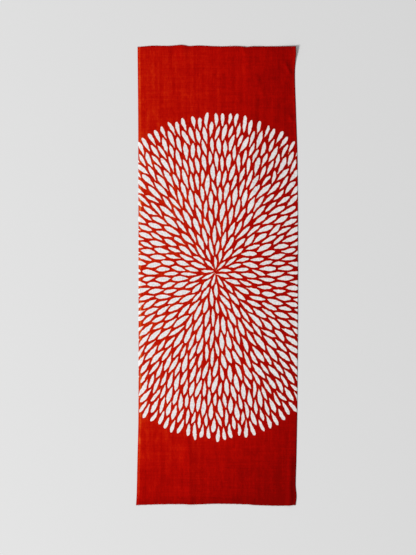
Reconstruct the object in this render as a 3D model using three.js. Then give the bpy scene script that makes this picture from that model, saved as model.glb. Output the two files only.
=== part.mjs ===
// Tenugui towel: one length of thin plain-woven cotton, cut straight across at both ends and left unhemmed.
// It lies flat, with the soft ridges and the lifted corner and edge that a cloth unfolded from a pile keeps.
//
// Millimetres. X runs across the cloth, from selvage to selvage. Y runs along it. Z is up, and the cloth
// lies on Z = 0. The origin is under the middle of its bounding box.

import * as THREE from 'three';

// The cloth as it is cut
const WIDTH = 340;
const LENGTH = 980;
const THICKNESS = 1;

// How far each edge runs outside (+) or inside (-) the straight cut. along is X on the two cut ends and Y
// on the two selvages.
const TOP_EDGE = [
  { along: -170, out: -1.6 },
  { along: -136, out: 1.0 },
  { along: -104, out: 0.8 },
  { along: -76, out: 2.4 },
  { along: -60, out: 0.4 },
  { along: -40, out: 1.5 },
  { along: 10, out: -0.6 },
  { along: 44, out: 0.0 },
  { along: 62, out: -1.9 },
  { along: 80, out: -0.8 },
  { along: 170, out: -0.9 },
];
const BOTTOM_EDGE = [
  { along: -170, out: 1.2 },
  { along: -120, out: -0.4 },
  { along: -72, out: -0.9 },
  { along: -50, out: -0.2 },
  { along: 3, out: -1.7 },
  { along: 67, out: -0.3 },
  { along: 82, out: 1.1 },
  { along: 142, out: 2.5 },
  { along: 170, out: 0.9 },
];
const LEFT_EDGE = [
  { along: -490, out: 3.3 },
  { along: -470, out: 2.0 },
  { along: -390, out: 0.2 },
  { along: -295, out: -1.9 },
  { along: 0, out: -2.1 },
  { along: 320, out: -1.4 },
  { along: 490, out: 0.0 },
];
const RIGHT_EDGE = [
  { along: -490, out: -1.6 },
  { along: -472, out: 0.3 },
  { along: -448, out: -1.6 },
  { along: -396, out: -0.3 },
  { along: -268, out: 2.0 },
  { along: -11, out: 3.3 },
  { along: 245, out: 2.3 },
  { along: 350, out: -1.0 },
  { along: 430, out: -3.3 },
  { along: 478, out: -1.0 },
  { along: 490, out: -1.6 },
];

// Soft ridges: the line each crest follows, how wide and high it is, and how long it takes to rise out of
// the flat cloth at either end. A crest that runs off an edge starts or ends past that edge.
const RIDGES = [
  { name: 'fold mark at the bottom', from: [-55, -545], to: [-57, -335], wide: 30, high: 3.4, fade: 50 },
  { name: 'fold mark at the top', from: [70, 530], to: [76, 110], wide: 44, high: 1.8, fade: 60 },
  { name: 'curl by the right selvage', from: [157, -530], to: [161, -365], wide: 22, high: 4.2, fade: 40 },
  { name: 'raised right selvage', from: [177, 400], to: [178, -140], wide: 44, high: 2.0, fade: 90 },
  { name: 'pucker in the top edge', from: [-77, 525], to: [-73, 445], wide: 36, high: 2.6, fade: 30 },
];

// The top right corner curls up past a straight line between two points, this far along each edge.
const CORNER = { alongTop: 62, alongSide: 44, high: 7, curl: 1.6 };

// The grid that the sheet is cut into: its widest and narrowest strips, the lines that each ridge needs
// across its width and along its fade, as shares of them, and the strips of the curled corner
const WIDEST_ACROSS = 28;
const WIDEST_ALONG = 36;
const NARROWEST = 4;
const RIDGE_LINES = [-0.5, -0.3, -0.15, 0, 0.15, 0.3, 0.5];
const FADE_LINES = [0.25, 0.5, 1];
const CORNER_STRIPS = 5;

// The cut ends' wander dies away this fast towards the middle of the cloth, as a power of the distance.
const END_FADE = 3;

// How far out a smooth line through a table's rows runs, at one place along the edge.
function follow(rows, along) {
  const last = rows.length - 1;
  if (along <= rows[0].along) return rows[0].out;
  if (along >= rows[last].along) return rows[last].out;
  const slope = (i) => {
    const before = rows[Math.max(i - 1, 0)];
    const after = rows[Math.min(i + 1, last)];
    return (after.out - before.out) / (after.along - before.along);
  };
  const i = rows.findIndex((row) => row.along > along) - 1;
  const span = rows[i + 1].along - rows[i].along;
  const t = (along - rows[i].along) / span;
  return (
    (2 * t ** 3 - 3 * t ** 2 + 1) * rows[i].out +
    (t ** 3 - 2 * t ** 2 + t) * span * slope(i) +
    (3 * t ** 2 - 2 * t ** 3) * rows[i + 1].out +
    (t ** 3 - t ** 2) * span * slope(i + 1)
  );
}

// How high one ridge stands at a point of the flat cloth.
function ridgeHeight(ridge, x, y) {
  const from = new THREE.Vector2(...ridge.from);
  const line = new THREE.Vector2(...ridge.to).sub(from);
  const length = line.length();
  line.normalize();
  const point = new THREE.Vector2(x, y).sub(from);
  const along = point.dot(line);
  const across = Math.abs(point.cross(line));
  if (across >= ridge.wide / 2) return 0;
  const rise = THREE.MathUtils.smoothstep(along, 0, ridge.fade);
  const fall = THREE.MathUtils.smoothstep(length - along, 0, ridge.fade);
  return (ridge.high * rise * fall * (1 + Math.cos((2 * Math.PI * across) / ridge.wide))) / 2;
}

// How high the corner curls up at a point of the flat cloth.
function cornerHeight(x, y) {
  const past = 1 - (WIDTH / 2 - x) / CORNER.alongTop - (LENGTH / 2 - y) / CORNER.alongSide;
  return past > 0 ? CORNER.high * past ** CORNER.curl : 0;
}

// The height of the cloth's underside at a point of the flat cloth.
function heightAt(x, y) {
  return Math.max(cornerHeight(x, y), ...RIDGES.map((ridge) => ridgeHeight(ridge, x, y)));
}

// Grid lines from -half to half that take in the wanted places, with no strip wider than the widest.
function gridLines(half, widest, wanted) {
  const places = [...wanted.filter((place) => Math.abs(place) < half - NARROWEST), half];
  const lines = [-half];
  for (const place of places.sort((a, b) => a - b)) {
    const last = lines[lines.length - 1];
    if (place - last < NARROWEST) continue;
    const strips = Math.ceil((place - last) / widest);
    for (let i = 1; i <= strips; i += 1) lines.push(last + ((place - last) * i) / strips);
  }
  return lines;
}

// The strips that end at the straight cut and span the curled corner.
function cornerLines(half, reach) {
  return Array.from({ length: CORNER_STRIPS }, (_, i) => half - (reach * (i + 1)) / CORNER_STRIPS);
}

// The lines across the sheet that its ridges and its curled corner need.
function acrossLines() {
  const wanted = RIDGES.flatMap((ridge) => {
    const middle = (ridge.from[0] + ridge.to[0]) / 2;
    return RIDGE_LINES.map((part) => middle + part * ridge.wide);
  });
  wanted.push(...cornerLines(WIDTH / 2, CORNER.alongTop));
  return gridLines(WIDTH / 2, WIDEST_ACROSS, wanted);
}

// The lines along the sheet that its ridges' ends, its curled corner and its edge's turns need.
function alongLines() {
  const wanted = RIDGES.flatMap((ridge) => {
    const inward = Math.sign(ridge.to[1] - ridge.from[1]) * ridge.fade;
    return FADE_LINES.flatMap((part) => [ridge.from[1] + part * inward, ridge.to[1] - part * inward]);
  });
  wanted.push(...cornerLines(LENGTH / 2, CORNER.alongSide), ...RIGHT_EDGE.map((row) => row.along));
  return gridLines(LENGTH / 2, WIDEST_ALONG, wanted);
}

// Where a point of the straight cut really lies: the edges' wander dies away towards the middle.
function wander(x, y) {
  const across = x > 0 ? follow(RIGHT_EDGE, y) : -follow(LEFT_EDGE, y);
  const along = y > 0 ? follow(TOP_EDGE, x) : -follow(BOTTOM_EDGE, x);
  return [x + across * Math.abs(x / (WIDTH / 2)), y + along * Math.abs(y / (LENGTH / 2)) ** END_FADE];
}

// The sheet: its upper face, its underside one thickness lower, and a strip round its four edges.
function sheetGeometry() {
  const columns = acrossLines();
  const rows = alongLines();
  const positions = [];
  for (const lift of [THICKNESS, 0]) {
    for (const y of rows) {
      for (const x of columns) positions.push(...wander(x, y), heightAt(x, y) + lift);
    }
  }

  const across = columns.length;
  const faceSize = across * rows.length;
  const indices = [];
  const quad = (a, b, c, d) => indices.push(a, b, c, a, c, d);
  for (let j = 0; j < rows.length - 1; j += 1) {
    for (let i = 0; i < across - 1; i += 1) {
      const at = j * across + i;
      quad(at, at + 1, at + across + 1, at + across);
      quad(faceSize + at, faceSize + at + across, faceSize + at + across + 1, faceSize + at + 1);
    }
  }
  const lastRow = faceSize - across;
  for (let i = 0; i < across - 1; i += 1) {
    quad(i, faceSize + i, faceSize + i + 1, i + 1);
    quad(lastRow + i, lastRow + i + 1, faceSize + lastRow + i + 1, faceSize + lastRow + i);
  }
  for (let j = 0; j < rows.length - 1; j += 1) {
    const left = j * across;
    const right = left + across - 1;
    quad(left, left + across, faceSize + left + across, faceSize + left);
    quad(right, faceSize + right, faceSize + right + across, right + across);
  }

  const geometry = new THREE.BufferGeometry();
  geometry.setAttribute('position', new THREE.Float32BufferAttribute(positions, 3));
  geometry.setIndex(indices);
  geometry.computeBoundingBox();
  const middle = geometry.boundingBox.getCenter(new THREE.Vector3());
  geometry.translate(-middle.x, -middle.y, 0);
  geometry.computeVertexNormals();
  return geometry;
}

const dyedCotton = new THREE.MeshStandardMaterial({
  name: 'dyed_cotton',
  color: 0xa8100a,
  roughness: 0.92,
  metalness: 0,
});

const cloth = new THREE.Mesh(sheetGeometry(), dyedCotton);
cloth.name = 'cloth';

const tenugui = new THREE.Group();
tenugui.name = 'tenugui_towel';
tenugui.add(cloth);

export default tenugui;
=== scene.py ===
# %% [markdown]
# # A tenugui towel dyed with a burst of petals
#
# A tenugui is one length of thin, plain-woven cotton, about 34 cm wide and nearly a metre long. Its two long
# edges are selvages, where the weft turns back, and its two short edges are only cut, so they fray a
# little. The pattern is not printed on top. Paste keeps the petals from the dye, and red is poured through
# the rest, so both sides show the same picture.
#
# The towel lies flat after being unfolded, so this lesson is about three things: a thin sheet that is never
# quite flat, hundreds of petals that must be alike but not the same, and a dye that is never quite even.
#
# The frame comes first. It holds the towel's solid at its real size, and everything here is fitted to it.

# %% Load the frame
import math

import bpy
import numpy as np
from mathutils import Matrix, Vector


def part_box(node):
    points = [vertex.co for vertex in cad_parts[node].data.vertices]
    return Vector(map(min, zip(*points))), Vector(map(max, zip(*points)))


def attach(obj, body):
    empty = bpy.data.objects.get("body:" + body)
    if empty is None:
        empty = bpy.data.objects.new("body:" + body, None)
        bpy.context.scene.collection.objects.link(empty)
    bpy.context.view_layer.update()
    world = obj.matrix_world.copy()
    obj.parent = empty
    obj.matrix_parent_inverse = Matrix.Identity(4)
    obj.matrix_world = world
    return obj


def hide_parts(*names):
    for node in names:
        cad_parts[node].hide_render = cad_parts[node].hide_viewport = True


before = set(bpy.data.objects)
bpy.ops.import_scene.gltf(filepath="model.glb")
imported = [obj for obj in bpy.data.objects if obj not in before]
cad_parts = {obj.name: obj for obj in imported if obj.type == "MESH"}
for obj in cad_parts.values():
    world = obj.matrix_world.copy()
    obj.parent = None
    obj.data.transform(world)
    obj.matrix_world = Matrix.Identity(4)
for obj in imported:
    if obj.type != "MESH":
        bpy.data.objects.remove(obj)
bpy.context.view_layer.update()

low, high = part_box("cloth")
print("The solid spans", [round(high[i] - low[i], 4) for i in range(3)], "metres")

# %% [markdown]
# ## Camera
#
# The towel is seen from straight above. A camera that is close bends what it sees, so this one hangs 3.2 m
# up with a long lens. The lens follows from two lengths: how far away the floor is, and how much of it the
# picture's tall side takes in.

# %% Hang the camera over the towel
CAMERA_HEIGHT = 3.2
FLOOR_IN_PICTURE = 1.187
PICTURE_MIDDLE = (-0.0193, -0.0045)
SENSOR_MM = 36.0

camera_data = bpy.data.cameras.new("camera")
camera_data.sensor_width = SENSOR_MM
camera_data.lens = SENSOR_MM * CAMERA_HEIGHT / FLOOR_IN_PICTURE
camera = bpy.data.objects.new("camera", camera_data)
camera.location = (*PICTURE_MIDDLE, CAMERA_HEIGHT)
bpy.context.scene.collection.objects.link(camera)
bpy.context.scene.camera = camera
print("Lens", round(camera_data.lens, 1), "mm")

# %% [markdown]
# ## Light
#
# Two lights are enough for a cloth on a table. A lamp to the left, and a little below the towel, rakes over
# it and makes the folds show. The pale room around it fills the shadows. The lamp is far away, so that it
# lights the cloth almost evenly, and as wide as a large window, so that shadows are soft. The Standard view
# keeps a saturated red as it is, where a film-like view would grey it.

# %% Set the lamp and the room
LAMP_DISTANCE = 11.0
LAMP_ELEVATION = math.radians(40)
LAMP_BEARING = math.radians(200)
LAMP_SIZE = 3.4
LAMP_POWER = 1020.0
ROOM_LIGHT = 0.365
ROOM_SEEN = 0.70

lamp_data = bpy.data.lights.new("lamp", "AREA")
lamp_data.shape = "DISK"
lamp_data.size = LAMP_SIZE
lamp_data.energy = LAMP_POWER
lamp = bpy.data.objects.new("lamp", lamp_data)
toward_lamp = Vector((
    math.cos(LAMP_ELEVATION) * math.cos(LAMP_BEARING),
    math.cos(LAMP_ELEVATION) * math.sin(LAMP_BEARING),
    math.sin(LAMP_ELEVATION),
))
lamp.location = toward_lamp * LAMP_DISTANCE
lamp.rotation_euler = toward_lamp.to_track_quat("Z", "Y").to_euler()
bpy.context.scene.collection.objects.link(lamp)
bpy.context.scene.view_settings.view_transform = "Standard"
print("Lamp", [round(v, 2) for v in lamp.location])

# %% [markdown]
# ## A helper for node trees
#
# Materials and Geometry Nodes are both trees of nodes, and sums with nodes are long to write. Two small
# classes make them short. `Bench` adds any node: its settings first, then its sockets. `Value` wraps what
# comes out of a node, so that `1 - mask` adds a Math node by itself.

# %% A value that sums can be made with
class Value:
    """One output socket, with sums that add Math nodes to its tree."""

    def __init__(self, bench, socket):
        self.bench, self.socket = bench, socket

    def math(self, operation, *others):
        return self.bench.math(operation, self, *others)

    def __add__(self, other):
        return self.math("ADD", other)

    def __sub__(self, other):
        return self.math("SUBTRACT", other)

    def __mul__(self, other):
        return self.math("MULTIPLY", other)

    def __pow__(self, other):
        return self.math("POWER", other)

    def __rsub__(self, other):
        return self.bench.math("SUBTRACT", other, self)

    def __abs__(self):
        return self.math("ABSOLUTE")

    __radd__ = __add__
    __rmul__ = __mul__


print("Also with the value on the right:", [name for name in vars(Value) if name.startswith("__r")])

# %% The bench that adds nodes
class Bench:
    """Adds nodes to one tree, of shader nodes or of geometry nodes."""

    def __init__(self, tree):
        self.tree = tree

    def node(self, kind, settings=None, sockets=None, outputs=(0,)):
        """One node: its settings, what its sockets get, and the outputs that are wanted of it."""
        made = self.tree.nodes.new(kind)
        for name, setting in (settings or {}).items():
            if name == "stops":
                self.set_stops(made.color_ramp, setting)
            else:
                setattr(made, name, setting)
        for name, value in (sockets or {}).items():
            if isinstance(value, Value):
                self.tree.links.new(value.socket, made.inputs[name])
            else:
                made.inputs[name].default_value = value
        values = [Value(self, made.outputs[k]) for k in outputs]
        return values[0] if len(values) == 1 else values

    @staticmethod
    def set_stops(ramp, stops):
        while len(ramp.elements) < len(stops):
            ramp.elements.new(1.0)
        for element, (place, colour) in zip(ramp.elements, stops):
            element.position = place
            element.color = (*colour, 1.0)

    def math(self, operation, *values):
        return self.node("ShaderNodeMath", {"operation": operation}, dict(enumerate(values)))

    def noise(self, places, scale, detail=2.0):
        """A smooth random number round 0, over two of the places' directions."""
        settings = {"noise_dimensions": "2D"}
        sockets = {"Vector": places, "Scale": scale, "Detail": detail}
        return self.node("ShaderNodeTexNoise", settings, sockets) - 0.5

    def between(self, value, low, high):
        """0 below low, 1 above high, and a soft step from one to the other."""
        sockets = {"Value": value, "From Min": low, "From Max": high}
        return self.node("ShaderNodeMapRange", {"interpolation_type": "SMOOTHSTEP"}, sockets)


def new_material(name):
    """An empty material, with its bench and the socket that its surface goes to."""
    material = bpy.data.materials.new(name)
    material.use_nodes = True
    material.node_tree.nodes.clear()
    return material, Bench(material.node_tree)


print("Bench ready")

# %% [markdown]
# ## Room and floor
#
# The room only gives light, so it is one grey. It would look dull behind the towel in a low view, so what
# the camera sees of it is paler than what it gives. The floor is a plain pale sheet, large enough that its
# far edge stays out of most views.

# %% The room's grey and the floor
FLOOR_REACH = 30.0
FLOOR_GREY = 0.80

room = bpy.data.worlds.new("room")
room.use_nodes = True
room.node_tree.nodes.clear()
bench = Bench(room.node_tree)
seen = bench.node("ShaderNodeLightPath", outputs=("Is Camera Ray",))
strength = seen * (ROOM_SEEN - ROOM_LIGHT) + ROOM_LIGHT
grey = bench.node("ShaderNodeBackground", sockets={"Color": (1, 1, 1, 1), "Strength": strength})
bench.node("ShaderNodeOutputWorld", sockets={"Surface": grey}, outputs=())
bpy.context.scene.world = room

paint, bench = new_material("floor_paint")
matt = bench.node("ShaderNodeBsdfPrincipled", sockets={
    "Base Color": (FLOOR_GREY, FLOOR_GREY, FLOOR_GREY, 1),
    "Roughness": 0.9,
    "Specular IOR Level": 0.0,
})
bench.node("ShaderNodeOutputMaterial", sockets={"Surface": matt}, outputs=())
corners = [(x * FLOOR_REACH, y * FLOOR_REACH, 0) for x, y in ((-1, -1), (1, -1), (1, 1), (-1, 1))]
floor_mesh = bpy.data.meshes.new("floor")
floor_mesh.from_pydata(corners, [], [(0, 1, 2, 3)])
floor_mesh.materials.append(paint)
floor = bpy.data.objects.new("floor", floor_mesh)
bpy.context.scene.collection.objects.link(floor)
print("Floor", 2 * FLOOR_REACH, "m square")

# %% [markdown]
# ## The outline of the cloth
#
# The cloth was cut as a plain rectangle, but no edge stays straight. The two cut ends wander by a
# millimetre or two where threads have shifted, and the selvages draw in and let out. Each edge has a short
# table that says how far it runs outside the rectangle, and a smooth line runs through the rows. The
# solid's source has the same tables, which is why the two fit.

# %% Edges that wander
WIDTH, LENGTH = 0.340, 0.980
END_FADE = 3

# Rows of (place along the edge, how far outside the straight cut)
TOP_EDGE = [
    (-0.170, -0.0016), (-0.136, 0.0010), (-0.104, 0.0008), (-0.076, 0.0024), (-0.060, 0.0004),
    (-0.040, 0.0015), (0.010, -0.0006), (0.044, 0.0), (0.062, -0.0019), (0.080, -0.0008), (0.170, -0.0009),
]
BOTTOM_EDGE = [
    (-0.170, 0.0012), (-0.120, -0.0004), (-0.072, -0.0009), (-0.050, -0.0002), (0.003, -0.0017),
    (0.067, -0.0003), (0.082, 0.0011), (0.142, 0.0025), (0.170, 0.0009),
]
LEFT_EDGE = [
    (-0.490, 0.0033), (-0.470, 0.0020), (-0.390, 0.0002), (-0.295, -0.0019), (0.0, -0.0021),
    (0.320, -0.0014), (0.490, 0.0),
]
RIGHT_EDGE = [
    (-0.490, -0.0016), (-0.472, 0.0003), (-0.448, -0.0016), (-0.396, -0.0003), (-0.268, 0.0020),
    (-0.011, 0.0033), (0.245, 0.0023), (0.350, -0.0010), (0.430, -0.0033), (0.478, -0.0010),
    (0.490, -0.0016),
]


def follow(rows, along):
    """How far out a smooth line through a table's rows runs, at each place along the edge."""
    places, outs = np.array(rows).T
    before = np.maximum(np.arange(len(rows)) - 1, 0)
    after = np.minimum(np.arange(len(rows)) + 1, len(rows) - 1)
    slopes = (outs[after] - outs[before]) / (places[after] - places[before])
    at = np.clip(along, places[0], places[-1])
    i = np.clip(np.searchsorted(places, at, side="right") - 1, 0, len(rows) - 2)
    span = places[i + 1] - places[i]
    t = (at - places[i]) / span
    return (
        (2 * t**3 - 3 * t**2 + 1) * outs[i]
        + (t**3 - 2 * t**2 + t) * span * slopes[i]
        + (3 * t**2 - 2 * t**3) * outs[i + 1]
        + (t**3 - t**2) * span * slopes[i + 1]
    )


def wander(x, y):
    """Where points of the straight cut really lie. The edges' wander dies away towards the middle."""
    across = np.where(x > 0, follow(RIGHT_EDGE, y), -follow(LEFT_EDGE, y))
    along = np.where(y > 0, follow(TOP_EDGE, x), -follow(BOTTOM_EDGE, x))
    return x + across * abs(2 * x / WIDTH), y + along * abs(2 * y / LENGTH) ** END_FADE


print("Top edge at its middle runs", round(float(follow(TOP_EDGE, 0.0)) * 1000, 2), "mm out")

# %% [markdown]
# ## The folds
#
# A towel that was folded in a pile keeps soft ridges where it was creased, a selvage that stands up a
# little, and a corner that curls. A cloth simulation could drop a sheet on the floor, but it would not put
# these marks where they are. So each is placed one by one: a ridge is a line that its crest follows, with a
# width, a height, the length that it takes to rise out of the flat cloth, and how sharp its crest is. Where
# the cloth was pressed into a fold the crest is sharp. The large ridges are in the solid too, a little
# plainer. The small ones are only here.

# %% Ridges, the curled corner and small creases
# name, start and end of the crest, width, height, length of the rise, sharpness from 0 to 1
RIDGES = [
    ("fold mark at the bottom", (-0.057, -0.545), (-0.059, -0.335), 0.054, 0.0038, 0.050, 1.0),
    ("fold mark at the top", (0.073, 0.530), (0.075, 0.110), 0.036, 0.0016, 0.060, 1.0),
    ("curl by the right selvage", (0.155, -0.530), (0.158, -0.365), 0.020, 0.0038, 0.040, 0.0),
    ("raised right selvage", (0.177, 0.240), (0.178, -0.240), 0.044, 0.0004, 0.120, 0.0),
    ("pucker in the top edge", (-0.077, 0.525), (-0.073, 0.445), 0.036, 0.0016, 0.030, 0.0),
]
CREASES = [
    ("dent by the right selvage", (0.145, 0.460), (0.162, 0.426), 0.012, 0.0030, 0.010, 0.3),
    ("second dent by the right selvage", (0.152, 0.348), (0.166, 0.324), 0.012, 0.0024, 0.010, 0.3),
    ("faint fold at the upper right", (0.086, 0.432), (0.100, 0.380), 0.016, 0.0014, 0.016, 0.3),
    ("nip in the top edge", (0.054, 0.500), (0.058, 0.470), 0.014, 0.0018, 0.016, 0.3),
    ("nip in the bottom edge", (0.076, -0.505), (0.074, -0.465), 0.018, 0.0013, 0.020, 0.3),
    ("crimp in the left selvage", (-0.176, -0.420), (-0.158, -0.428), 0.014, 0.0008, 0.008, 0.3),
]
SHARP_POWER = 1.5
CORNER_ALONG_TOP, CORNER_ALONG_SIDE, CORNER_HIGH, CORNER_CURL = 0.062, 0.044, 0.007, 1.6
LYING_GAP = 0.0001


def rise(distance, length):
    """0 at the start of a ridge, 1 once its full length of rise is past."""
    t = np.clip(distance / length, 0, 1)
    return t * t * (3 - 2 * t)


def ridge_height(ridge, x, y):
    """How high one ridge or crease stands at points of the flat cloth."""
    name, start, end, wide, high, fade, sharp = ridge
    line = np.subtract(end, start)
    length = np.hypot(*line)
    line /= length
    along = (x - start[0]) * line[0] + (y - start[1]) * line[1]
    across = np.abs((x - start[0]) * line[1] - (y - start[1]) * line[0])
    aside = np.minimum(2 * across / wide, 1)
    crest = sharp * (1 - aside) ** SHARP_POWER + (1 - sharp) * (1 + np.cos(np.pi * aside)) / 2
    return high * crest * rise(along, fade) * rise(length - along, fade)


def corner_height(x, y):
    """How high the top right corner curls up."""
    past = 1 - (WIDTH / 2 - x) / CORNER_ALONG_TOP - (LENGTH / 2 - y) / CORNER_ALONG_SIDE
    return CORNER_HIGH * np.maximum(past, 0) ** CORNER_CURL


print("Corner", round(float(corner_height(WIDTH / 2, LENGTH / 2)) * 1000, 1), "mm high")

# %% [markdown]
# Between its folds the cloth still rolls a little, by less than a millimetre, and settles down towards its
# edges. Random waves of one rough length give that, and a fixed seed makes them the same each time. The cut
# ends have a finer frill, and a long low swell runs down the upper right of the towel.

# %% Gentle unevenness
# length of the waves, height, seed
ROLLS = [(0.110, 0.00045, 11), (0.045, 0.00022, 12)]

# How many waves a roll has, and their lengths as shares of the one that is asked for: the least, and how
# much more the longest has
WAVES, WAVE_LEAST, WAVE_MORE = 9, 0.7, 0.9
EDGE_CALM, EDGE_REACH = 0.10, 0.025
FRILL_LENGTH, FRILL_HIGH, FRILL_REACH, FRILL_SEED = 0.038, 0.0002, 0.016, 13
SWELL_CREST, SWELL_HIGH, SWELL_LEFT, SWELL_RIGHT = 0.078, 0.0016, 0.110, 0.092
SWELL_FROM, SWELL_TO = 0.050, 0.300


def roll(x, y, length, seed):
    """Random soft waves, about one length long, from 0 to 1 high."""
    rng = np.random.default_rng(seed)
    total = np.zeros_like(x)
    for turn, start, stretch in rng.random((WAVES, 3)):
        angle, reach = 2 * np.pi * turn, length * (WAVE_LEAST + WAVE_MORE * stretch)
        total += np.sin(2 * np.pi * ((x * np.cos(angle) + y * np.sin(angle)) / reach + start))
    return np.clip(0.5 + total / np.sqrt(WAVES) / 3, 0, 1)


def swell(x, y):
    """The long low swell down the upper right."""
    side = np.where(x < SWELL_CREST, (SWELL_CREST - x) / SWELL_LEFT, (x - SWELL_CREST) / SWELL_RIGHT)
    return SWELL_HIGH * (1 - rise(side, 1)) * rise(y - SWELL_FROM, SWELL_TO - SWELL_FROM)


def underside(x, y):
    """The height of the cloth's underside at points of the flat cloth."""
    folds = np.max([corner_height(x, y)] + [ridge_height(ridge, x, y) for ridge in RIDGES], axis=0)
    small = sum(ridge_height(crease, x, y) for crease in CREASES) + swell(x, y)
    to_end = LENGTH / 2 - np.abs(y)
    to_edge = np.minimum(to_end, WIDTH / 2 - np.abs(x))
    calm = EDGE_CALM + (1 - EDGE_CALM) * rise(to_edge, EDGE_REACH)
    for length, height, seed in ROLLS:
        small += height * calm * roll(x, y, length, seed)
    small += FRILL_HIGH * np.exp(-to_end / FRILL_REACH) * roll(x, y, FRILL_LENGTH, FRILL_SEED) ** 2
    return LYING_GAP + folds + small


line = np.linspace(-WIDTH / 2, WIDTH / 2, 9)
print("Heights across the middle, mm:", (underside(line, line * 0) * 1000).round(2))

# %% [markdown]
# ## The sheet
#
# The cloth is a closed sheet: an upper side, an underside one thickness lower, and a narrow rim between
# them. Both sides are the same grid, pushed to the wandering outline and up to the folds. Each point also
# keeps its place on the flat cloth, because that is where the petals are drawn.
#
# The map for the dye lays the two sides next to each other, with a strip for each stretch of rim.

# %% The grid and its faces
THICKNESS = 0.00036
CELLS_ACROSS, CELLS_ALONG = 120, 336

columns = np.linspace(-WIDTH / 2, WIDTH / 2, CELLS_ACROSS + 1)
rows = np.linspace(-LENGTH / 2, LENGTH / 2, CELLS_ALONG + 1)
flat_x, flat_y = (grid.ravel() for grid in np.meshgrid(columns, rows))
cloth_x, cloth_y = wander(flat_x, flat_y)
cloth_z = underside(flat_x, flat_y)
SHIFT = np.array([(cloth_x.min() + cloth_x.max()) / 2, (cloth_y.min() + cloth_y.max()) / 2])
cloth_x, cloth_y = cloth_x - SHIFT[0], cloth_y - SHIFT[1]
one_side = len(flat_x)
vertices = np.concatenate([
    np.c_[cloth_x, cloth_y, cloth_z + THICKNESS],
    np.c_[cloth_x, cloth_y, cloth_z],
])

ids = np.arange(one_side).reshape(CELLS_ALONG + 1, CELLS_ACROSS + 1)


def strip(edge, turned):
    """Rim faces below one edge of the upper side, wound so that they face outwards."""
    a, b = (edge[1:], edge[:-1]) if turned else (edge[:-1], edge[1:])
    return np.c_[a, a + one_side, b + one_side, b]


upper = np.c_[ids[:-1, :-1].ravel(), ids[:-1, 1:].ravel(), ids[1:, 1:].ravel(), ids[1:, :-1].ravel()]
patches = [
    upper,
    upper[:, ::-1] + one_side,
    strip(ids[0], False),
    strip(ids[-1], True),
    strip(ids[:, 0], True),
    strip(ids[:, -1], False),
]
faces = np.concatenate(patches)
print(len(vertices), "points and", len(faces), "faces")

# %% The mesh and its map
# Where each patch lies on the map: the left and right side of its block
MAP_BLOCKS = [
    (0.004, 0.470), (0.945, 0.479), (0.951, 0.959), (0.963, 0.971), (0.975, 0.983), (0.987, 0.995),
]
MAP_MARGIN = 0.004

mesh = bpy.data.meshes.new("cloth_dyed")
mesh.from_pydata(vertices.tolist(), [], faces.tolist())
across = np.tile((flat_x - columns[0]) / WIDTH, 2)
along = np.tile((flat_y - rows[0]) / LENGTH, 2)
is_upper = np.repeat([1.0, 0.0], one_side)
places_on_map = []
for patch, (left, right), kind in zip(patches, MAP_BLOCKS, ["side"] * 2 + ["end"] * 2 + ["selvage"] * 2):
    u = across if kind == "side" else is_upper
    v = across if kind == "end" else along
    u, v = left + (right - left) * u, MAP_MARGIN + (1 - 2 * MAP_MARGIN) * v
    corners_uv = np.stack([u[patch], v[patch]], axis=-1)
    places_on_map.append(corners_uv.reshape(-1, 2))
uv_map = mesh.uv_layers.new(name="OFBake")
uv_map.data.foreach_set("uv", np.concatenate(places_on_map).astype(np.float32).ravel())
from_selvage = mesh.attributes.new("from_selvage", "FLOAT", "POINT")
from_selvage.data.foreach_set("value", np.tile(WIDTH / 2 - np.abs(flat_x), 2).astype(np.float32))
mesh.polygons.foreach_set("use_smooth", np.ones(len(faces), bool))
mesh.update()
area = sum(polygon.area for polygon in mesh.polygons) / 2
print("Cloth", (vertices.max(0) - vertices.min(0)).round(4), "m, area", round(area, 4), "square metres")

# %% [markdown]
# ## Setting out the petals
#
# The burst is a flower seen as a firework: every petal points away from one heart. On the real towel a
# cutter draws them by hand. Rows of petals on rings would look like a machine's work, and random places
# would leave holes. So a rule does what the cutter's eye does:
#
# 1. Petals start on rings round the heart, a little out of step.
# 2. Each pushes its neighbours away until the red line between them is wide enough.
# 3. Where a petal is still squeezed, it is left out, and its neighbours move in.
# 4. Each then grows, shrinks, turns or bows a little, until the red lines round it are even.
#
# Petals are longer above and below the heart than beside it, so the whole burst is an oval. It is wider
# than the cloth, and the selvages cut it off.

# %% Which way petals point, and how large they are
HEART = np.array([-0.0040, 0.0064])

# The upright part of a petal's way counts less than it should, and least near the heart
UPRIGHT_NEAR, UPRIGHT_FAR, UPRIGHT_FROM, UPRIGHT_OVER = 0.80, 0.93, 0.10, 0.08

# How far neighbours sway together, the length of the waves, and where round the heart they begin
SWAY, SWAY_WAVES, SWAY_SEED, SWAY_FROM, SWAY_OVER = math.radians(16), 0.100, 21, 0.02, 0.05

# By distance from the heart: length above and below it, length beside it, and the two widths. The share of
# the way that is upwards or downwards says which of the two holds.
SIZE_AT = [0.015, 0.045, 0.075, 0.120, 0.170, 0.240, 0.300, 0.350]
LONG_ENDWISE = [0.0260, 0.0298, 0.0346, 0.0370, 0.0370, 0.0346, 0.0317, 0.0298]
LONG_SIDEWISE = [0.0260, 0.0278, 0.0298, 0.0298, 0.0288, 0.0288, 0.0288, 0.0288]
WIDE_ENDWISE = [0.0065, 0.0072, 0.0077, 0.0083, 0.0083, 0.0082, 0.0080, 0.0079]
WIDE_SIDEWISE = [0.0065, 0.0074, 0.0085, 0.0086, 0.0084, 0.0084, 0.0084, 0.0084]
ENDWISE_FROM, ENDWISE_OVER = 0.45, 0.5


def turned(ways, angles):
    """Directions, turned by small angles."""
    c, s = np.cos(angles), np.sin(angles)
    return np.c_[ways[:, 0] * c - ways[:, 1] * s, ways[:, 0] * s + ways[:, 1] * c]


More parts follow.
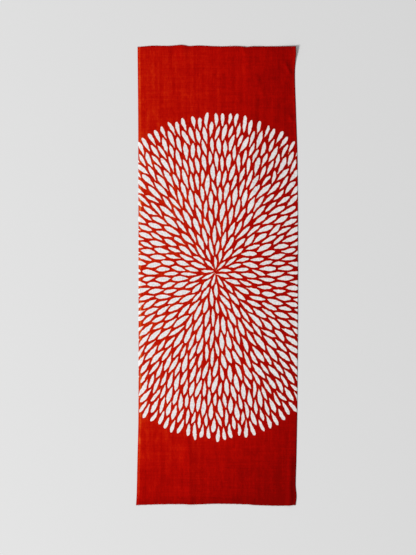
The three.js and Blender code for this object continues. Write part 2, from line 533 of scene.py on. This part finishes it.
def outward(places):
    """The way that petals point: away from the heart, a little flatter, and swayed by soft waves."""
    away = places - HEART
    far = rise(np.abs(away[:, 1]) - UPRIGHT_FROM, UPRIGHT_OVER)
    upright = UPRIGHT_NEAR + (UPRIGHT_FAR - UPRIGHT_NEAR) * far
    sway = SWAY * (roll(places[:, 0], places[:, 1], SWAY_WAVES, SWAY_SEED) - 0.5)
    sway *= rise(np.linalg.norm(away, axis=1) - SWAY_FROM, SWAY_OVER)
    ways = away * np.c_[np.ones(len(away)), upright]
    return turned(ways / np.linalg.norm(ways, axis=1, keepdims=True), sway)


def petal_size(places):
    """Length and width of petals at these places."""
    away = places - HEART
    distance = np.linalg.norm(away, axis=1)
    endwise = rise(np.abs(away[:, 1]) / distance - ENDWISE_FROM, ENDWISE_OVER)
    long, wide = (
        np.interp(distance, SIZE_AT, beside) * (1 - endwise) + np.interp(distance, SIZE_AT, above) * endwise
        for beside, above in ((LONG_SIDEWISE, LONG_ENDWISE), (WIDE_SIDEWISE, WIDE_ENDWISE))
    )
    return long, wide


print("A petal 0.2 m above the heart measures", petal_size(HEART + [[0.0, 0.2]]))

# %% Rings of petals to start from
OVAL_MIDDLE = np.array([-0.0029, -0.0032])
OVAL = np.array([0.297, 0.350])
TIP_INSIDE = 0.0155
FIRST_RING, FIRST_COUNT = 0.0185, 9
RIM_PITCH, RING_PITCH, RING_STEP = 0.0159, 0.0155, 0.0218
REACH = 0.200
SEED = 8
OVAL_POINTS = 3001

# How uneven the rings are: along them, as a share of the pitch, and across them, in metres, or as a share of
# the radius for the first ring
FIRST_UNEVEN, RIM_UNEVEN, RING_UNEVEN = (0.08, 0.06), (0.07, 0.0020), (0.15, 0.0025)
LEAN_EACH = math.radians(4.5)

rng = np.random.default_rng(SEED)


def ring(middle, radii, pitch, unevenness):
    """Places about one pitch apart along an oval."""
    t = np.linspace(0, 2 * np.pi, OVAL_POINTS)
    oval = middle + np.c_[np.cos(t), np.sin(t)] * radii
    walked = np.r_[0, np.cumsum(np.linalg.norm(np.diff(oval, axis=0), axis=1))]
    count = round(walked[-1] / pitch)
    steps = np.arange(count) + rng.random() + rng.normal(0, unevenness, count)
    at = steps * walked[-1] / count % walked[-1]
    return np.c_[np.interp(at, walked, oval[:, 0]), np.interp(at, walked, oval[:, 1])]


first = ring(HEART, np.full(2, FIRST_RING), 2 * np.pi * FIRST_RING / FIRST_COUNT, FIRST_UNEVEN[0])
first = HEART + (first - HEART) * (1 + rng.normal(0, FIRST_UNEVEN[1], (len(first), 1)))
last_ring = OVAL - TIP_INSIDE
rim = ring(OVAL_MIDDLE, last_ring, RIM_PITCH, RIM_UNEVEN[0])
rim += outward(rim) * rng.normal(0, RIM_UNEVEN[1], (len(rim), 1))
rim = rim[np.abs(rim[:, 0]) < REACH + TIP_INSIDE]
ring_count = round((last_ring[1] - FIRST_RING) / RING_STEP)
others = []
for k in range(1, ring_count):
    share = k / ring_count
    tall = FIRST_RING + (last_ring[1] - FIRST_RING) * share
    squat = 1 - (1 - last_ring[0] / last_ring[1]) * share
    middle = HEART * (1 - share) + OVAL_MIDDLE * share
    places = ring(middle, np.array([tall * squat, tall]), RING_PITCH, RING_UNEVEN[0])
    others.append(places + outward(places) * rng.normal(0, RING_UNEVEN[1], (len(places), 1)))
others = np.concatenate(others)
others = others[np.abs(others[:, 0]) < REACH]
petals = np.concatenate([first, rim, others])
held = np.arange(len(petals)) < len(first) + len(rim)
lean = rng.normal(0, LEAN_EACH, len(petals))
print(len(petals), "petals set out on", ring_count + 1, "rings")

# %% [markdown]
# How far apart are two petals? They are lens-shaped, so two that lie side by side need their whole width,
# and two that lie end to end need none. Between those cases the room that they need shrinks with the square
# of how far one is ahead of the other. The dyed line between two petals is the distance across, less that.
#
# The first ring and the rim are held where they are set out, and the others make room for each other.

# %% How petals push each other
RED_WANTED = 0.0070
NEIGHBOURS = 0.048

# A petal makes a share of the move that it needs, and never a long one
EASE, MOST_STEP, STEPS_EACH_LOOK = 0.55, 0.0025, 8


def pushes(places, lean, one, other):
    """The red between each pair of petals, and the way that pushes them apart."""
    long, wide = petal_size(places)
    ways = turned(outward(places), lean)
    way = ways[one] + ways[other]
    way /= np.linalg.norm(way, axis=1, keepdims=True)
    side = np.c_[-way[:, 1], way[:, 0]]
    step = places[other] - places[one]
    ahead, beside = (step * way).sum(1), (step * side).sum(1)
    both_long, both_wide = (long[one] + long[other]) / 2, (wide[one] + wide[other]) / 2
    red = np.abs(beside) + both_wide * (ahead / both_long) ** 2 - both_wide
    slope = 2 * both_wide * ahead / both_long**2
    push = slope[:, None] * way + np.where(beside < 0, -1, 1)[:, None] * side
    return red, push / (1 + slope**2)[:, None]


def neighbours(places):
    """All pairs of petals that could touch, as two lists."""
    apart = ((places[None] - places[:, None]) ** 2).sum(2)
    return np.nonzero((apart < NEIGHBOURS**2) & ~np.eye(len(places), dtype=bool))


def settle(places, held, lean, steps):
    """Moves petals until the red between them is wide enough, and says how much each then has."""
    for step in range(steps):
        if step % STEPS_EACH_LOOK == 0:
            one, other = neighbours(places)
        red, push = pushes(places, lean, one, other)
        move = np.zeros_like(places)
        np.add.at(move, one, np.minimum(red - RED_WANTED, 0)[:, None] / 2 * push)
        move *= EASE
        size = np.linalg.norm(move, axis=1, keepdims=True)
        move *= np.minimum(1, MOST_STEP / np.maximum(size, 1e-9))
        places = places + np.where(held[:, None], 0, move)
    least = np.full(len(places), np.inf)
    np.minimum.at(least, one, red)
    return places, least


print(len(neighbours(petals)[0]) // 2, "pairs of petals are nearer to each other than", NEIGHBOURS, "m")

# %% Push them apart and thin them out
# The red that leaves a petal squeezed, and how far apart two are that are left out in the same turn
RED_LEAST, APART = 0.0022, 0.060
FIRST_STEPS, NEXT_STEPS = 40, 24
MOST_TURNS, MOST_LEFT_OUT = 30, 60
ROOM_AT_RIM = 0.005

petals, red = settle(petals, held, lean, FIRST_STEPS)
for turn in range(MOST_TURNS):
    left_out = []
    for k in np.argsort(np.where(held, np.inf, red))[:MOST_LEFT_OUT]:
        far = all(np.linalg.norm(petals[k] - petals[m]) > APART for m in left_out)
        if red[k] < RED_LEAST and far:
            left_out.append(k)
    outside = ((petals - OVAL_MIDDLE) / (last_ring - ROOM_AT_RIM)) ** 2 @ [1, 1] > 1
    left_out = np.union1d(left_out, np.nonzero(outside & ~held)[0]).astype(int)
    if turn > 1 and len(left_out) == 0:
        break
    petals, held, lean = (np.delete(values, left_out, axis=0) for values in (petals, held, lean))
    petals, red = settle(petals, held, lean, NEXT_STEPS)
showing = np.abs(petals[:, 0]) < WIDTH / 2
print(showing.sum(), "petals on the cloth, red", np.percentile(red[showing], [5, 50, 95]).round(4), "m")

# %% [markdown]
# Every petal gets an outline of its own. Its half width grows from the inner tip as a power of the
# distance, and shrinks to the outer tip as another power. A low power makes a blunt end and a high one a
# sharp end, and petals on the rim are blunter outside. A slight bow keeps them from looking stamped.

# %% One outline for each petal
# Mean, spread, least and most
LONG_SHARE, WIDE_SHARE = (1, 0.05, 0.82, 1.16), (1, 0.05, 0.84, 1.15)
INNER_POWER, OUTER_POWER = (1.08, 0.16, 0.75, 1.45), (0.76, 0.13, 0.50, 1.00)
RIM_POWER = (0.52, 0.06, 0.42, 0.66)
BOW_EACH = 0.0010


def varied(mean, spread, least, most, how_many):
    """Random numbers round a mean, without the outliers."""
    return np.clip(rng.normal(mean, spread, how_many), least, most)


count = len(petals)
on_rim = held & (np.linalg.norm(petals - HEART, axis=1) > 2 * FIRST_RING)
petal_way = turned(outward(petals), lean)
usual_long, usual_wide = petal_size(petals)
petal_long = usual_long * varied(*LONG_SHARE, count)
petal_wide = usual_wide * varied(*WIDE_SHARE, count)
inner_power = varied(*INNER_POWER, count)
outer_power = varied(*OUTER_POWER, count)
outer_power[on_rim] = varied(*RIM_POWER, on_rim.sum())
bow = rng.normal(0, BOW_EACH, count)


def outline(ahead, which, half_wide):
    """Half a petal's width, and how far its middle line bows, at a place along it."""
    t = np.clip(ahead, 0, 1)
    half = half_wide[which] * t ** inner_power[which] * (1 - t) ** outer_power[which]
    return half, bow[which] * np.sin(np.pi * t)


def half_width():
    """What the two powers are multiplied by, so that every petal gets its width at its fullest place."""
    whole = inner_power + outer_power
    return petal_wide / 2 * (whole / inner_power) ** inner_power * (whole / outer_power) ** outer_power


print(on_rim.sum(), "blunt petals on the rim, mean length", petal_long.mean().round(4), "m")

# %% [markdown]
# Last, the cutter looks at each petal and its neighbours. Where there is too much red the petal is drawn
# longer, fuller or blunter, and is moved, turned or bowed towards it. Where there is too little it is
# trimmed. After six looks at all of them the red lines are nearly even, and the petals differ in size and
# shape as they do on the towel. Those of the first ring and of the rim keep their outer ends, so that the
# burst keeps its shape.
#
# To look at a petal is to take 13 places along each of its two flanks, and to find how far each of them is
# from the nearest neighbour. The parts of a petal are ranges of those places, from the inner tip on. Each
# look makes up only a share of what is missing, because the neighbours change too.

# %% How to look at the petals
PLACES, HEAPS = 13, 8

stations = (1 - np.cos(np.linspace(0, np.pi, PLACES))) / 2
one, other = neighbours(petals)


def look_round():
    """How wide the red is at the places along each petal's left flank, and along its right one."""
    half, middle = outline(stations[None], np.arange(count)[:, None], half_width())
    side = np.c_[-petal_way[:, 1], petal_way[:, 0]][:, None]
    spine = petals[:, None] + ((stations - 0.5) * petal_long[:, None])[..., None] * petal_way[:, None]
    flanks = [spine + (middle + half)[..., None] * side, spine + (middle - half)[..., None] * side]
    points = np.concatenate(flanks, axis=1)
    red = np.full(points.shape[:2], np.inf)
    for some in np.array_split(np.arange(len(one)), HEAPS):
        steps = points[one[some]][:, :, None] - points[other[some]][:, None]
        np.minimum.at(red, one[some], np.linalg.norm(steps, axis=3).min(2))
    return red[:, :PLACES], red[:, PLACES:]


narrowest = np.minimum(*look_round()).min(1)
print("Red lines", np.percentile(narrowest[showing], [5, 50, 95]).round(4), "m wide before the looks")

# %% Let each petal fill its room
# The red that each leaves beside it, beyond its ends and at the heart, and how much that differs
RED_BESIDE, RED_AT_ENDS, RED_AT_HEART, RED_UNEVEN = 0.0046, 0.0040, 0.0020, 0.0006
SHORTEST, LONGEST, SLIMMEST, FULLEST, FULLEST_ON_RIM = 0.86, 1.25, 0.86, 1.19, 1.02
BLUNTER, INNER_POWERS, OUTER_POWERS = 60, (0.70, 1.45), (0.45, 1.00)
MOST_MOVE, MOST_ASIDE, MOST_TURN, MOST_LEAN, MOST_BOW = 0.0012, 0.0006, 0.04, math.radians(8), 0.0022
GROW_SHARE, MOVE_SHARE, BOW_SHARE = 1 / 2, 1 / 4, 1 / 8
LOOKS = 6
INNER_TIP, INNER, MIDDLE, OUTER, OUTER_TIP, FLANK = (slice(*ends) for ends in (
    (0, 3), (2, 6), (5, 8), (7, 11), (10, 13), (4, 10),
))
PARTS_APART = 1 / 3

most_wide = np.where(on_rim, FULLEST_ON_RIM, FULLEST) * usual_wide
red_inside = np.where(held & ~on_rim, RED_AT_HEART, RED_AT_ENDS)
extra = rng.normal(0, RED_UNEVEN, count)
leaned = np.zeros(count)
for look in range(LOOKS):
    left, right = look_round()
    both = np.minimum(left, right)
    inside = both[:, INNER_TIP].min(1) - red_inside - extra
    outside = np.where(held, 0, both[:, OUTER_TIP].min(1) - RED_AT_ENDS - extra)
    at_left, at_right = (flank[:, FLANK].min(1) - RED_BESIDE - extra for flank in (left, right))
    longer = petal_long + (inside + outside) * GROW_SHARE
    longer = np.clip(longer, SHORTEST * usual_long, LONGEST * usual_long)
    ahead = np.clip((outside - inside) * MOVE_SHARE, -MOST_MOVE, MOST_MOVE)
    ahead = np.where(held, (petal_long - longer) / 2, ahead)
    petal_long = longer
    wider = petal_wide + (at_left + at_right) * GROW_SHARE
    petal_wide = np.clip(wider, SLIMMEST * usual_wide, most_wide)
    side = np.c_[-petal_way[:, 1], petal_way[:, 0]]
    aside = np.clip((at_left - at_right) * MOVE_SHARE, -MOST_ASIDE, MOST_ASIDE)
    petals = petals + ahead[:, None] * petal_way + aside[:, None] * side

    # How much wider the red is on the left than on the right, at three parts of the petal
    inner, middle, outer = (left[:, part].min(1) - right[:, part].min(1) for part in (INNER, MIDDLE, OUTER))
    turn = (outer - inner) * MOVE_SHARE / (petal_long * PARTS_APART)
    turn = np.clip(leaned + np.clip(turn, -MOST_TURN, MOST_TURN), -MOST_LEAN, MOST_LEAN) - leaned
    turn = np.where(held, 0, turn)
    leaned = leaned + turn
    petal_way = turned(petal_way, turn)
    bow = np.clip(bow + (middle - (inner + outer) / 2) * BOW_SHARE, -MOST_BOW, MOST_BOW)
    inner_power = np.clip(inner_power - BLUNTER * (both[:, INNER].min(1) - RED_BESIDE), *INNER_POWERS)
    blunter = outer_power - BLUNTER * (both[:, OUTER].min(1) - RED_BESIDE)
    outer_power = np.where(on_rim, outer_power, np.clip(blunter, *OUTER_POWERS))

half_wide = half_width()
narrowest = np.minimum(*look_round()).min(1)
print("Red lines", np.percentile(narrowest[showing], [5, 50, 95]).round(4), "m wide after them")

# %% [markdown]
# ## Petals on the cloth
#
# The edge of a petal has to be crisp from close by, and the grid's faces are 3 mm wide, so the petals can't
# be painted on its points. Instead each face is told which petals touch it, up to three, and each of its
# corners knows where it lies on them: how far along the petal, and how far to the side. Between corners
# those numbers run evenly, so the material can work out the outline itself, at any point.

# %% Tell each face its petals
PETALS_EACH = 3
FACE_REACH = 0.0030

face_middle = np.c_[np.tile(flat_x, 2)[faces].mean(1), np.tile(flat_y, 2)[faces].mean(1)]


def on_petal(places, which):
    """How far along a petal (0 to 1) and how far to its side places are."""
    step = places - petals[which]
    way = petal_way[which]
    ahead = (step * way).sum(-1) / petal_long[which] + 0.5
    return ahead, step[..., 1] * way[..., 0] - step[..., 0] * way[..., 1]


touched = []
for k in range(count):
    near = np.nonzero(np.abs(face_middle - petals[k]).max(1) < petal_long[k] / 2 + FACE_REACH)[0]
    ahead, beside = on_petal(face_middle[near], k)
    half, middle = outline(ahead, k, half_wide)
    beyond = np.maximum(np.abs(ahead - 0.5) - 0.5, 0) * petal_long[k]
    outside = np.hypot(beyond, np.maximum(np.abs(beside - middle) - half, 0))
    hit = outside < FACE_REACH
    touched.append(np.c_[near[hit], np.full(hit.sum(), k), outside[hit]])
touched = np.concatenate(touched)
touched = touched[np.lexsort((touched[:, 2], touched[:, 0]))]
face_id, petal_id = touched[:, 0].astype(int), touched[:, 1].astype(int)
starts = np.r_[True, face_id[1:] != face_id[:-1]]
order = np.arange(len(face_id))
rank = order - np.maximum.accumulate(np.where(starts, order, 0))
print("Petals on the fullest face:", rank.max() + 1, "faces with more than", PETALS_EACH, ":",
      (rank == PETALS_EACH).sum())

# %% Write the petals to the corners
corner_flat = np.c_[np.tile(flat_x, 2), np.tile(flat_y, 2)][faces]
for slot in range(PETALS_EACH):
    chosen = np.full(len(faces), -1)
    chosen[face_id[rank == slot]] = petal_id[rank == slot]
    has_one = (chosen >= 0)[:, None, None]
    ahead, beside = on_petal(corner_flat, chosen[:, None].repeat(4, 1))
    place = np.stack([ahead, beside, half_wide[chosen][:, None].repeat(4, 1)], -1)
    cut = np.stack([inner_power, outer_power, bow], -1)[chosen][:, None].repeat(4, 1)
    for name, values, nothing in (("place", place, (0.5, 1.0, 0.0)), ("cut", cut, (1.0, 1.0, 0.0))):
        attribute = mesh.attributes.new(f"petal_{slot}_{name}", "FLOAT_VECTOR", "CORNER")
        attribute.data.foreach_set("vector", np.where(has_one, values, nothing).astype(np.float32).ravel())
print([attribute.name for attribute in mesh.attributes if attribute.name.startswith("petal")])

# %% [markdown]
# ## Red dye and white cotton
#
# Dye is a filter. A little of it lets through orange, more of it red, and much of it a dark red, so one
# number, the depth of the dye, chooses the colour from a ramp. The depth is zero inside the petals and
# about one outside, and everything else only changes it: it grows from the left selvage to the right,
# partly as deeper dye and partly as painted shade for light that falls off to the right, it is thin along
# the selvages and raised near the cut ends, which darkens the red there, and it is streaked, because
# single yarns take up more dye or less.
#
# Yarn shows at every scale. Threads are half a millimetre apart and are a relief, streaks along the warp
# are a few millimetres wide, and clouds in the dye are as wide as a thumb.

# %% How deep the petals' paste reaches
EDGE_SOFT = 0.00045
WOBBLE, WOBBLE_SCALE = 0.0024, 135
THREADS, THREADS_SCALE = 0.00035, 1500
TYPICAL_PETAL = 0.034


def petal_margin(bench, slot):
    """How far inside the outline of one of its petals a point is, in metres. It is negative outside."""
    numbers = []
    for name in ("place", "cut"):
        settings = {"attribute_name": f"petal_{slot}_{name}"}
        vector = bench.node("ShaderNodeAttribute", settings, outputs=("Vector",))
        numbers += bench.node("ShaderNodeSeparateXYZ", sockets={"Vector": vector}, outputs=(0, 1, 2))
    ahead, beside, half, inner, outer, bowed = numbers
    t = ahead.math("MINIMUM", 1.0).math("MAXIMUM", 0.0)
    width = half * t**inner * (1 - t) ** outer
    middle = bowed * (t * math.pi).math("SINE")
    beyond = abs(ahead - t) * TYPICAL_PETAL
    return width - abs(beside - middle) - beyond


def bare_cotton(bench, places):
    """1 where paste kept the dye off, 0 where the cloth is dyed."""
    margin = petal_margin(bench, 0)
    for slot in range(1, PETALS_EACH):
        margin = margin.math("MAXIMUM", petal_margin(bench, slot))
    margin = margin + bench.noise(places, WOBBLE_SCALE, detail=1) * WOBBLE
    margin = margin + bench.noise(places, THREADS_SCALE) * THREADS
    return bench.between(margin, -EDGE_SOFT, EDGE_SOFT)


print("Edges are", 2 * EDGE_SOFT * 1000, "mm soft")

# %% How deep the dye is, with painted shade to the right
# Depth of the dye and the colour that shows
DYE_STOPS = [
    (0.00, (0.850, 0.832, 0.836)),
    (0.14, (0.840, 0.480, 0.240)),
    (0.30, (0.740, 0.140, 0.018)),
    (0.40, (0.680, 0.036, 0.0030)),
    (0.54, (0.560, 0.0100, 0.0012)),
    (0.61, (0.500, 0.0045, 0.0008)),
    (0.70, (0.435, 0.0022, 0.0005)),
    (0.86, (0.320, 0.0012, 0.0004)),
    (1.00, (0.235, 0.0009, 0.0004)),
]
DEEPEST = 1.5
# The depth in the middle, and how it rises to the right: partly deeper dye, partly painted shade for light
# falling off to the right
DEPTH_MIDDLE, DEPTH_AND_SHADE_SLOPE, DEPTH_AND_SHADE_CURVE = 0.99, 1.33, 3.2

# Side of the middle (1 towards the top), from and to how far from it, and how much the depth grows,
# darkening the red
DARKER_ALONG = [
    (-1, 0.280, 0.500, 0.26), (1, 0.250, 0.360, 0.05), (-1, 0.462, 0.492, 0.18), (1, 0.474, 0.492, 0.11),
]
LIGHTER_BURST, BURST_FROM, BURST_TO = 0.06, 0.10, 0.34

# The thin line along a selvage: how strong it is, and from and to how far from the selvage it fades in and
# out. The right selvage has none of it, but gets some back towards the top.
LINE_STRONG, LINE_MEAN, FADES_IN, FADES_OUT = 0.38, 0.75, (0.0005, 0.0030), (0.0042, 0.0075)
LINE_STREAK = (0.2, 0.04)
RIGHT_HALF, BACK_FROM_TO, BACK = (-0.01, 0.01), (0.10, 0.20), 0.6

# Width across, length along, and strength of each kind of streak
DYE_STREAKS = [
    (0.0085, 0.250, 0.22), (0.0042, 0.250, 0.19), (0.0160, 0.045, 0.30), (0.0080, 0.018, 0.22),
    (0.0030, 0.008, 0.25), (0.0500, 0.003, 0.20), (0.1200, 0.006, 0.12),
]


def streaks(bench, x, y, wide, long):
    """Noise that is one width across and one length along."""
    places = bench.node("ShaderNodeCombineXYZ", sockets={"X": x * (1 / wide), "Y": y * (1 / long)})
    return bench.noise(places, 1.0)


def dye_depth_and_shade(bench, x, y):
    """The depth of the dye on cloth that the paste didn't cover, with painted shade in its rise to the
    right.
    """
    # Painted shade: part of this rise to the right stands for light falling off away from the lamp, the rest
    # is deeper dye
    depth_and_shade = x * x * DEPTH_AND_SHADE_CURVE + x * DEPTH_AND_SHADE_SLOPE + DEPTH_MIDDLE
    for side, start, end, more in DARKER_ALONG:
        depth_and_shade = depth_and_shade + bench.between(y * side, start, end) * more
    depth_and_shade = depth_and_shade - (1 - bench.between(abs(y), BURST_FROM, BURST_TO)) * LIGHTER_BURST
    for wide, long, strength in DYE_STREAKS:
        depth_and_shade = depth_and_shade + streaks(bench, x, y, wide, long) * strength
    from_selvage = bench.node("ShaderNodeAttribute", {"attribute_name": "from_selvage"}, outputs=("Fac",))
    line = bench.between(from_selvage, *FADES_IN) * (1 - bench.between(from_selvage, *FADES_OUT))
    lacking = bench.between(x, *RIGHT_HALF) * (1 - bench.between(y, *BACK_FROM_TO) * BACK)
    thinner = (streaks(bench, x, y, *LINE_STREAK) + LINE_MEAN) * (1 - lacking) * LINE_STRONG
    return depth_and_shade - line * thinner


edge_depths_and_shade = [DEPTH_MIDDLE + side * DEPTH_AND_SHADE_SLOPE * WIDTH / 2 + DEPTH_AND_SHADE_CURVE * WIDTH**2 / 4 for side in (-1, 1)]
print("Depth of the dye at the selvages", [round(depth_and_shade, 2) for depth_and_shade in edge_depths_and_shade])

# %% Threads
YARN_PITCH, YARN_HIGH = 0.00048, 0.00004
SLUB_WIDE, SLUB_LONG, SLUB_HIGH = 0.0011, 0.030, 0.00010


def crossed(bench, x, y, wide, long, warp=1.0, weft=1.0):
    """Streaks along the warp and along the weft, each as strong as it says."""
    return streaks(bench, x, y, wide, long) * warp + streaks(bench, x, y, long, wide) * weft


def weave_height(bench, x, y):
    """The relief of a plain weave, in metres: warp and weft come up in turn, and some yarn is thick."""
    turn = math.pi / YARN_PITCH
    over = (x * turn).math("SINE") * (y * turn).math("SINE")
    return over * YARN_HIGH + crossed(bench, x, y, SLUB_WIDE, SLUB_LONG) * SLUB_HIGH


print("Threads are", YARN_PITCH * 1000, "mm apart")

# %% The cloth's material
# Shading of the yarn: width and length of the threads, strength along the warp and along the weft, and a
# finer mottling
SHADE_WIDE, SHADE_LONG, SHADE_WARP, SHADE_WEFT = 0.0016, 0.050, 0.05, 0.04
FINE_SCALE, FINE_MOTTLE = 330, 0.30

# The bare cotton also mottles where thick yarns cross, and has painted shade that greys it to the right
BARE_WIDE, BARE_LONG, BARE_MOTTLE, BARE_PAINTED_SHADE = 0.0025, 0.008, 0.40, 0.26
ROUGH, ROUGH_SPREAD, ROUGH_SCALE = 0.88, 0.16, 900


def cotton_material(name, with_petals):
    """Red dyed cotton, with bare petals where the mesh has them."""
    material, bench = new_material(name)
    places = bench.node("ShaderNodeTexCoord", outputs=("Object",))
    x, y, _ = bench.node("ShaderNodeSeparateXYZ", sockets={"Vector": places}, outputs=(0, 1, 2))
    depth_and_shade = dye_depth_and_shade(bench, x, y)
    shade = crossed(bench, x, y, SHADE_WIDE, SHADE_LONG, SHADE_WARP, SHADE_WEFT)
    shade = shade + bench.noise(places, FINE_SCALE) * FINE_MOTTLE + 1
    if with_petals:
        bare = bare_cotton(bench, places)
        depth_and_shade = depth_and_shade * (1 - bare)
        mottle = crossed(bench, x, y, BARE_WIDE, BARE_LONG) * BARE_MOTTLE
        # Painted shade: the bare cotton greys towards the right, for light that falls off away from the lamp
        shade = shade + bare * (mottle - x * BARE_PAINTED_SHADE)
    colour = bench.node("ShaderNodeValToRGB", {"stops": DYE_STOPS}, {"Fac": depth_and_shade * (1 / DEEPEST)})
    colour = bench.node("ShaderNodeVectorMath", {"operation": "SCALE"}, {0: colour, "Scale": shade})
    height = weave_height(bench, x, y)
    normal = bench.node("ShaderNodeBump", sockets={"Height": height, "Distance": 1.0, "Strength": 1.0})
    surface = bench.node("ShaderNodeBsdfPrincipled", sockets={
        "Base Color": colour,
        "Roughness": bench.noise(places, ROUGH_SCALE) * ROUGH_SPREAD + ROUGH,
        "Normal": normal,
        "Specular IOR Level": 0.01,
        "Sheen Weight": 0.02,
        "Sheen Roughness": 0.6,
        "Sheen Tint": (1.0, 0.35, 0.25, 1),
    })
    bench.node("ShaderNodeOutputMaterial", sockets={"Surface": surface}, outputs=())
    return material


dyed_cotton = cotton_material("dyed_cotton_cloth", True)
mesh.materials.append(dyed_cotton)
cloth = bpy.data.objects.new("tenugui_cloth", mesh)
bpy.context.scene.collection.objects.link(cloth)
print(len(dyed_cotton.node_tree.nodes), "nodes in the cloth's material")

# %% [markdown]
# ## Yarn ends
#
# Nothing holds the last threads of a cut end, so the warp sticks out by about a millimetre. A thousand
# short yarns are too many to place by hand, and they all follow one rule, so Geometry Nodes make them: the
# two cut edges are lines, the lines are stepped off a little wider than the yarns lie, and a short tapered
# yarn is put on each step, with its own length and angle. The last nodes make the copies real and give them
# their material.

# %% The tree that sets yarn along a line
# Least and most: how far a yarn is lifted, in radians, and how thick and how long it is, as shares
LIFT, THICK_FROM_TO, LONG_FROM_TO = (0.0, 0.12), (0.8, 1.3), (0.55, 1.5)
YARN_SIDES = 5


def yarn_tree():
    """Geometry Nodes: short yarns along a line of points, pointing as the line's attribute says."""
    tree = bpy.data.node_groups.new("yarn_along_cut", "GeometryNodeTree")
    face = tree.interface
    face.new_socket("Geometry", in_out="INPUT", socket_type="NodeSocketGeometry")
    kinds = {"Pitch": "Float", "Length": "Float", "Thickness": "Float", "Spread": "Float", "Seed": "Int"}
    for name, kind in (kinds | {"Material": "Material"}).items():
        face.new_socket(name, in_out="INPUT", socket_type=f"NodeSocket{kind}")
    face.new_socket("Geometry", in_out="OUTPUT", socket_type="NodeSocketGeometry")

    bench = Bench(tree)
    line, pitch, length, thick, spread, seed, material = bench.node("NodeGroupInput", outputs=range(7))
    curve = bench.node("GeometryNodeMeshToCurve", sockets={"Mesh": line})
    steps = bench.node("GeometryNodeResampleCurve", {"mode": "LENGTH"}, {"Curve": curve, "Length": pitch})

    def chance(low, high, offset):
        # Of the sockets called Min and Max, the third and the fourth are those for plain numbers
        sockets = {2: low, 3: high, "Seed": seed + offset}
        return bench.node("FunctionNodeRandomValue", {"data_type": "FLOAT"}, sockets, outputs=(1,))

    way = bench.node("GeometryNodeInputNamedAttribute", {"data_type": "FLOAT"}, {"Name": "way_out"})
    lay = way * (-math.pi / 2) + way * chance(*LIFT, 1)
    turn = bench.node("ShaderNodeCombineXYZ", sockets={"X": lay, "Z": chance(-1.0, 1.0, 2) * spread})
    size = bench.node("ShaderNodeCombineXYZ", sockets={
        "X": thick * chance(*THICK_FROM_TO, 3), "Y": thick, "Z": length * chance(*LONG_FROM_TO, 4),
    })
    yarn = bench.node("GeometryNodeMeshCone", sockets={
        "Vertices": YARN_SIDES, "Side Segments": 2, "Radius Top": 0.25, "Radius Bottom": 0.5, "Depth": 1.0,
    })
    copies = bench.node("GeometryNodeInstanceOnPoints", sockets={
        "Points": steps, "Instance": yarn, "Rotation": turn, "Scale": size,
    })
    real = bench.node("GeometryNodeRealizeInstances", sockets={"Geometry": copies})
    done = bench.node("GeometryNodeSetMaterial", sockets={"Geometry": real, "Material": material})
    bench.node("NodeGroupOutput", sockets={"Geometry": done}, outputs=())
    return tree


yarns = yarn_tree()
print("Inputs:", [item.name for item in yarns.interface.items_tree if item.in_out == "INPUT"])

# %% Yarn ends along both cuts
YARN_INSIDE = 0.0006
yarn_inputs = {
    "Pitch": 0.00062,
    "Length": 0.0013,
    "Thickness": 0.00030,
    "Spread": 0.42,
    "Seed": 5,
    "Material": cotton_material("dyed_cotton_yarn", False),
}

points, edges, ways_out = [], [], []
for way, edge in ((1, ids[-1]), (-1, ids[0])):
    start = len(points)
    points += [(cloth_x[i], cloth_y[i] - way * YARN_INSIDE, cloth_z[i] + THICKNESS / 2) for i in edge]
    edges += [(start + k, start + k + 1) for k in range(len(edge) - 1)]
    ways_out += [float(way)] * len(edge)
lines = bpy.data.meshes.new("cut_lines")
lines.from_pydata(points, edges, [])
lines.attributes.new("way_out", "FLOAT", "POINT").data.foreach_set("value", ways_out)
liner = bpy.data.objects.new("cut_lines", lines)
bpy.context.scene.collection.objects.link(liner)
modifier = liner.modifiers.new("yarns", "NODES")
modifier.node_group = yarns
for item in yarns.interface.items_tree:
    if item.in_out == "INPUT" and item.name in yarn_inputs:
        modifier[item.identifier] = yarn_inputs[item.name]

evaluated = liner.evaluated_get(bpy.context.evaluated_depsgraph_get())
yarn_mesh = bpy.data.meshes.new_from_object(evaluated)
yarn_mesh.name = "yarn_ends"
bpy.data.objects.remove(liner)
yarn_ends = bpy.data.objects.new("yarn_ends", yarn_mesh)
bpy.context.scene.collection.objects.link(yarn_ends)
print("Yarn ends:", len(yarn_mesh.polygons), "faces")

# %% [markdown]
# ## The pieces and the solid
#
# Both pieces ride on the towel's one body. The cloth stands for the solid, so the solid is hidden.

# %% Attach the pieces and hide the solid
for piece in (cloth, yarn_ends):
    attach(piece, "root")
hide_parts("cloth")
